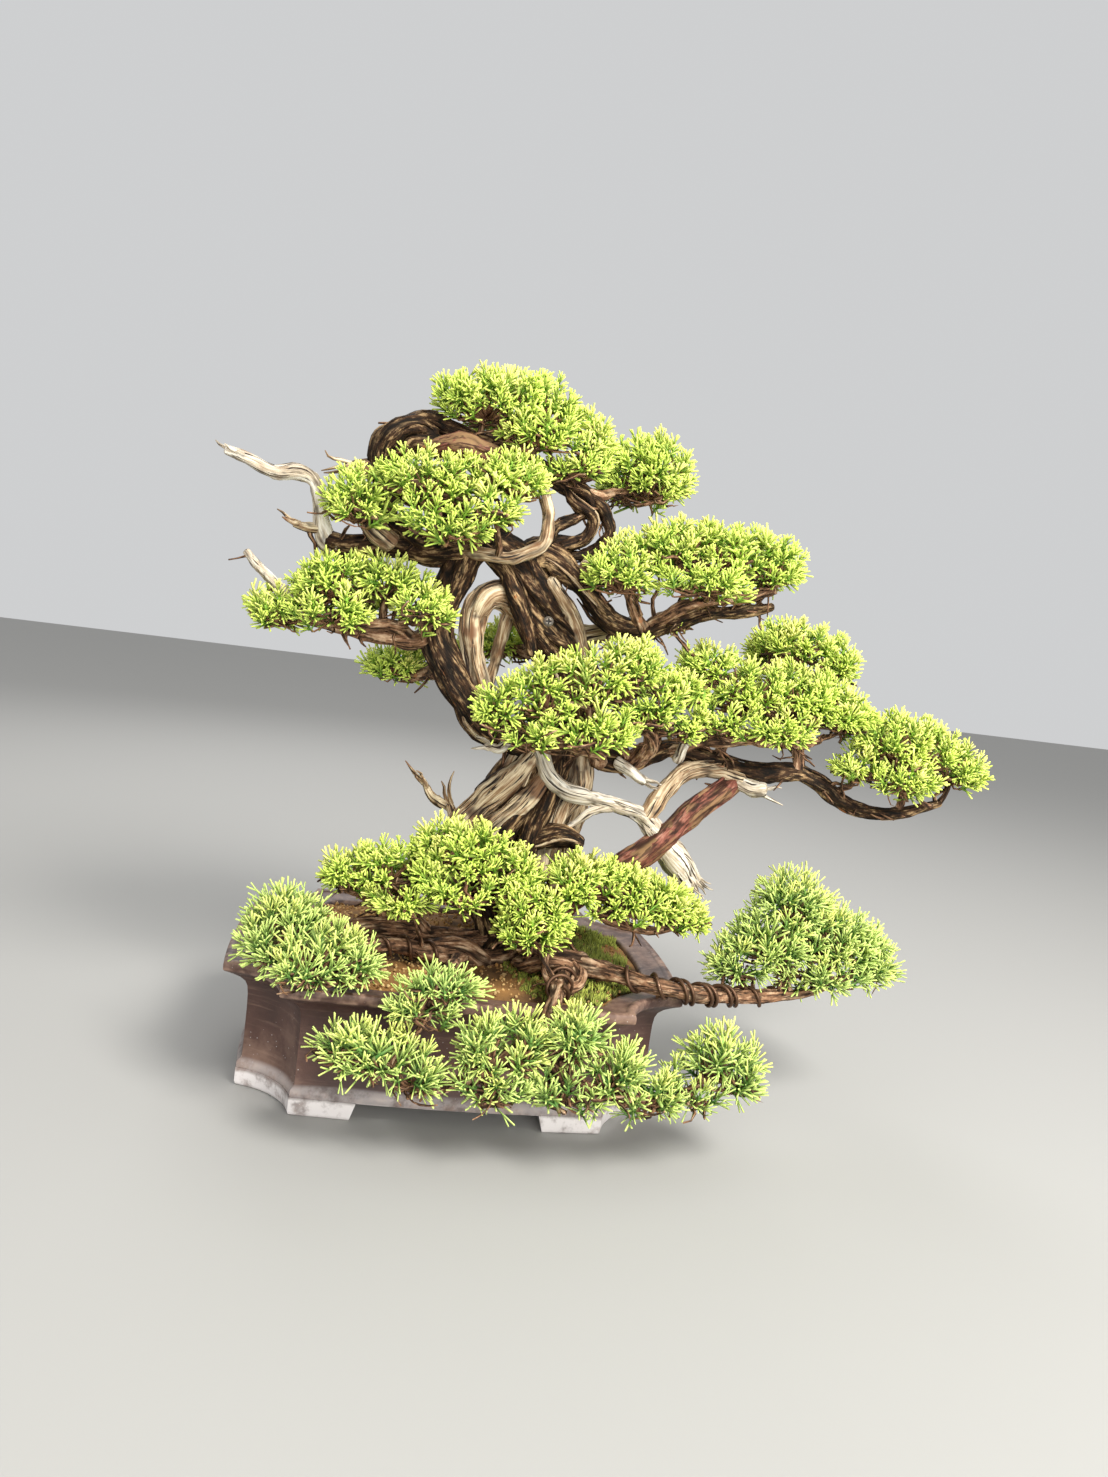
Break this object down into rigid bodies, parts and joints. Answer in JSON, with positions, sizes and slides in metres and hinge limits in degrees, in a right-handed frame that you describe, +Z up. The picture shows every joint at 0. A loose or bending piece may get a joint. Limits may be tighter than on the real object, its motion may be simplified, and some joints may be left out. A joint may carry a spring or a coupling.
{
  "type": "itoigawa juniper bonsai",
  "caption": "Juniper bonsai with twisted half-bare trunk, layered foliage pads and low branches that spill over the rim of a rectangular clay pot with indented corners.",
  "frame": {"origin": "under the middle of the whole object's footprint, on the plane that the pot's feet stand on", "axes": "+X along the pot's long side, towards the long right branch; +Y from the front to the back; +Z up"},
  "size_m": [0.6174, 0.3322, 0.5397],
  "materials": {
    "clay": "unglazed red-brown clay, satin, with pale mineral bloom at the feet",
    "screen": "black plastic mesh",
    "screw": "dull zinc with light rust",
    "wire": "brown anodised, dull",
    "bark": "flaky red-brown bark and bleached grey-white bare wood",
    "soil": "loose yellow-brown clay granules with moss",
    "foliage_upper": "fine yellow-green scale foliage, slightly waxy",
    "foliage_lower": "blue-green scale foliage, slightly waxy"
  },
  "bodies": {
    "root": {"pot": "clay", "drain_screen_left": "screen", "drain_screen_right": "screen", "trunk_screw": "screw", "trunk_and_branches": "bark", "soil": "soil", "wire_right_branch_a": "wire", "wire_right_branch_b": "wire", "wire_front_branch": "wire", "wire_left_branch": "wire", "foliage_apex": "foliage_upper", "foliage_shoulder": "foliage_upper", "foliage_front_crown": "foliage_upper", "foliage_left": "foliage_upper", "foliage_back_left": "foliage_upper", "foliage_right": "foliage_upper", "foliage_right_tuft": "foliage_upper", "foliage_back_right": "foliage_upper", "foliage_mid_right": "foliage_upper", "foliage_far_right": "foliage_upper", "foliage_centre": "foliage_upper", "foliage_low_left": "foliage_upper", "foliage_low_mid": "foliage_upper", "foliage_low_right": "foliage_upper", "foliage_rim_left": "foliage_lower", "foliage_low_branch": "foliage_lower", "foliage_cascade_left": "foliage_lower", "foliage_cascade_tuft": "foliage_lower", "foliage_cascade_mid": "foliage_lower", "foliage_cascade_right": "foliage_lower", "foliage_cascade_end": "foliage_lower", "foliage_back_low": "foliage_upper"}
  },
  "joints": []
}
